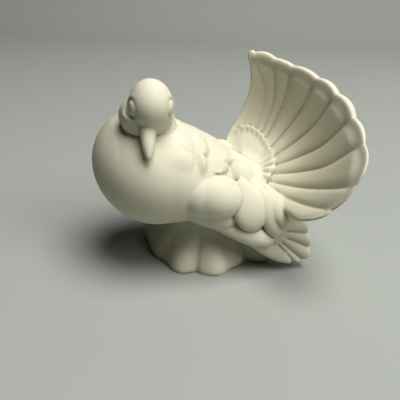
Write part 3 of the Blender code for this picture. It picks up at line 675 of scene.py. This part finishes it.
def soften(obj, turns):
    # smooth only near the fillets
    points = read_points(obj.data)
    weight = numpy.zeros(len(points))
    for spot, radius in FILLETS:
        weight = numpy.maximum(weight, nearness(points, spot, radius))
    weight = numpy.minimum(1.0, weight * 1.6)
    group = obj.vertex_groups.new(name="fillets")
    for index in numpy.nonzero(weight > 0.03)[0]:
        group.add([int(index)], float(weight[index]), "REPLACE")
    relax = obj.modifiers.new("fillets", "SMOOTH")
    relax.vertex_group = "fillets"
    relax.factor = 0.5
    relax.iterations = turns
    apply_all(obj)


def carve_eyes(mesh):
    # a shallow socket with a raised border on either side of the head, and the eye in it
    points = read_points(mesh)
    flat = numpy.empty(len(points) * 3, dtype=numpy.float32)
    mesh.vertex_normals.foreach_get("vector", flat)
    normals = flat.reshape(-1, 3).astype(float)
    fwd, side, up = head_axes()
    for hand, eye in zip((-1, 1), eye_places()):
        away = points / SHARE - numpy.array(eye)
        along = away @ numpy.array(fwd)
        out = away @ numpy.array(side) * hand
        above = away @ numpy.array(up)
        # the eye is an upright oval
        tall = (0.745 * along - 0.667 * above) / 1.14
        wide = (0.667 * along + 0.745 * above) / 0.94
        ring = numpy.hypot(tall, wide)
        close = numpy.exp(-(out / 6.0) ** 4)
        ball = 0.55 * numpy.exp(-(ring / EYE_RADIUS) ** 6)
        # the border stands up behind the eye and dies away in front of it
        behind = 0.5 - 0.5 * (0.54 * along + 0.84 * above) / numpy.maximum(numpy.hypot(along, above), 0.1)
        groove = -0.55 * (0.25 + 0.75 * behind) * numpy.exp(-((ring - LID_RADIUS) / 0.75) ** 2)
        brow = 0.7 * behind ** 1.5 * numpy.exp(-((ring - BROW_RADIUS) / 0.9) ** 2)
        push = (ball + groove + brow) * close * SHARE
        points = points + normals * push[:, None]
    mesh.vertices.foreach_set("co", points.astype(numpy.float32).ravel())
    mesh.update()


def flat_bottom(mesh):
    # exact flat underside at z = 0
    bm = bmesh.new()
    bm.from_mesh(mesh)
    geom = list(bm.verts) + list(bm.edges) + list(bm.faces)
    cut = bmesh.ops.bisect_plane(bm, geom=geom, plane_co=(0, 0, 0), plane_no=(0, 0, -1), clear_outer=True)
    rim = [e for e in cut["geom_cut"] if isinstance(e, bmesh.types.BMEdge)]
    bmesh.ops.holes_fill(bm, edges=rim, sides=0)
    bmesh.ops.recalc_face_normals(bm, faces=bm.faces)
    bm.to_mesh(mesh)
    bm.free()


def apply_all(obj):
    graph = bpy.context.evaluated_depsgraph_get()
    mesh = bpy.data.meshes.new_from_object(obj.evaluated_get(graph))
    old = obj.data
    obj.modifiers.clear()
    obj.data = mesh
    bpy.data.meshes.remove(old)


def build_dove(name, voxel, turns, fillet_turns, limit):
    bm = bmesh.new()
    add_head_balls(bm)
    add_wing_balls(bm)
    add_body(bm)
    add_beak(bm)
    add_fan(bm)
    add_rosette(bm)
    add_wings(bm)
    add_mound(bm)
    bmesh.ops.recalc_face_normals(bm, faces=bm.faces)
    mesh = bpy.data.meshes.new(name)
    bm.to_mesh(mesh)
    bm.free()
    obj = bpy.data.objects.new(name, mesh)
    group = bpy.data.collections.new(name + "_parts")
    bpy.context.scene.collection.children.link(group)
    group.objects.link(obj)
    remesh = obj.modifiers.new("one_skin", "REMESH")
    remesh.mode = "VOXEL"
    remesh.voxel_size = voxel
    remesh.adaptivity = 0.0
    soft = obj.modifiers.new("soft", "SMOOTH")
    soft.factor = 0.5
    soft.iterations = turns
    apply_all(obj)
    soften(obj, fillet_turns)
    carve_eyes(obj.data)
    faces = sum(len(p.vertices) - 2 for p in obj.data.polygons)
    if faces > limit:
        thin = obj.modifiers.new("thin", "DECIMATE")
        thin.ratio = limit / faces
        thin.use_collapse_triangulate = True
        apply_all(obj)
    flat_bottom(obj.data)
    return obj


def ramp(nodes, low, low_tone, high, high_tone):
    # colour that runs from one tone to another between two values
    node = nodes.new("ShaderNodeValToRGB")
    start, end = node.color_ramp.elements
    start.position = low
    start.color = low_tone
    end.position = high
    end.color = high_tone
    return node


def bisque():
    # unglazed cast clay: cream, matt, with a very fine tooth
    mat = bpy.data.materials.new("bisque")
    mat.use_nodes = True
    nodes = mat.node_tree.nodes
    links = mat.node_tree.links
    shade = nodes["Principled BSDF"]
    place = nodes.new("ShaderNodeTexCoord")
    cloud = nodes.new("ShaderNodeTexNoise")
    cloud.inputs["Scale"].default_value = 38.0
    cloud.inputs["Detail"].default_value = 4.0
    links.new(place.outputs["Object"], cloud.inputs["Vector"])
    tint = ramp(nodes, 0.35, CLAY_DARK, 0.70, CLAY_LIGHT)
    links.new(cloud.outputs["Fac"], tint.inputs["Fac"])
    # painted shade darkens the creases, told by how sharply the surface bends
    form = nodes.new("ShaderNodeNewGeometry")
    crease = ramp(nodes, CREASE_SHARP, PAINTED_CREASE_SHADE, CREASE_FLAT, (1.0, 1.0, 1.0, 1.0))
    links.new(form.outputs["Pointiness"], crease.inputs["Fac"])
    # the painted crease shade is multiplied into the clay tone
    painted_shade_mix = nodes.new("ShaderNodeMix")
    painted_shade_mix.data_type = "RGBA"
    painted_shade_mix.blend_type = "MULTIPLY"
    # colour sockets of the mix: factor 0, colours 6 and 7, result 2
    painted_shade_mix.inputs[0].default_value = 1.0
    links.new(tint.outputs["Color"], painted_shade_mix.inputs[6])
    links.new(crease.outputs["Color"], painted_shade_mix.inputs[7])
    links.new(painted_shade_mix.outputs[2], shade.inputs["Base Color"])
    grain = nodes.new("ShaderNodeTexNoise")
    grain.inputs["Scale"].default_value = 2600.0
    grain.inputs["Detail"].default_value = 3.0
    links.new(place.outputs["Object"], grain.inputs["Vector"])
    bump = nodes.new("ShaderNodeBump")
    bump.inputs["Strength"].default_value = 0.25
    bump.inputs["Distance"].default_value = TOOTH_DEPTH
    links.new(grain.outputs["Fac"], bump.inputs["Height"])
    links.new(bump.outputs["Normal"], shade.inputs["Normal"])
    shade.inputs["Roughness"].default_value = 0.72
    shade.inputs["Specular IOR Level"].default_value = 0.30
    return mat


def floor_paint():
    mat = bpy.data.materials.new("floor_grey")
    mat.use_nodes = True
    shade = mat.node_tree.nodes["Principled BSDF"]
    shade.inputs["Base Color"].default_value = FLOOR_TONE
    shade.inputs["Roughness"].default_value = 0.85
    shade.inputs["Specular IOR Level"].default_value = 0.2
    return mat


def keep_inside(mesh, low, high):
    # nothing of the finer surface stands outside the box of the solid
    for vert in mesh.vertices:
        for axis in range(3):
            vert.co[axis] = min(max(vert.co[axis], low[axis]), high[axis])


def shade_smooth(mesh):
    for poly in mesh.polygons:
        poly.use_smooth = True


def make_floor():
    profile = [(FLOOR_FRONT, 0.0), (FLOOR_BACK, 0.0)]
    for step in range(1, SWEEP_STEPS + 1):
        a = 0.5 * math.pi * step / SWEEP_STEPS
        profile.append((FLOOR_BACK + SWEEP_RADIUS * math.sin(a), SWEEP_RADIUS * (1 - math.cos(a))))
    profile.append((FLOOR_BACK + SWEEP_RADIUS, WALL_TOP))
    bm = bmesh.new()
    rows = []
    for y, z in profile:
        rows.append((bm.verts.new((-FLOOR_HALF_WIDTH, y, z)), bm.verts.new((FLOOR_HALF_WIDTH, y, z))))
    for a, b in zip(rows[:-1], rows[1:]):
        bm.faces.new((a[0], a[1], b[1], b[0]))
    mesh = bpy.data.meshes.new("floor")
    bm.to_mesh(mesh)
    bm.free()
    mesh.materials.append(floor_paint())
    shade_smooth(mesh)
    obj = bpy.data.objects.new("floor", mesh)
    obj.rotation_euler = (0, 0, math.radians(FLOOR_TURN))
    bpy.context.scene.collection.objects.link(obj)
    return obj


def add_lamp(name, spot, width, watts, color):
    light = bpy.data.lights.new(name, "AREA")
    light.shape = "DISK"
    light.size = width
    light.energy = watts
    light.color = color
    obj = bpy.data.objects.new(name, light)
    obj.location = spot
    obj.rotation_euler = (Vector(LAMP_AIM) - Vector(spot)).to_track_quat("-Z", "Y").to_euler()
    bpy.context.scene.collection.objects.link(obj)


def add_room():
    scene = bpy.context.scene
    world = bpy.data.worlds.new("room")
    world.use_nodes = True
    back = world.node_tree.nodes["Background"]
    back.inputs["Color"].default_value = ROOM_TONE
    back.inputs["Strength"].default_value = ROOM_LIGHT
    scene.world = world
    scene.view_settings.view_transform = "Standard"
    scene.view_settings.look = "High Contrast"


def add_camera():
    lens = bpy.data.cameras.new("camera")
    lens.sensor_width = 36.0
    lens.lens = CAMERA_LENS
    lens.clip_start = 0.01
    camera = bpy.data.objects.new("camera", lens)
    across = Vector(CAMERA_ACROSS)
    ahead = Vector(CAMERA_AHEAD)
    across = (across - ahead * across.dot(ahead)).normalized()
    ahead.normalize()
    up = across.cross(ahead)
    turn = Matrix((across, up, -ahead)).transposed().to_4x4()
    camera.matrix_world = Matrix.Translation(CAMERA_PLACE) @ turn
    bpy.context.scene.collection.objects.link(camera)
    bpy.context.scene.camera = camera


dove = build_dove("dove_bisque", *FULL_GRAIN)
shade_smooth(dove.data)
dove.data.materials.clear()
dove.data.materials.append(bisque())
keep_inside(dove.data, cad_box[0], cad_box[1])
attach(dove, "root")
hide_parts("dove_statue")

floor = make_floor()

for lamp, (spot, width, watts, color) in LAMPS.items():
    add_lamp(lamp, spot, width, watts, color)
add_room()
add_camera()
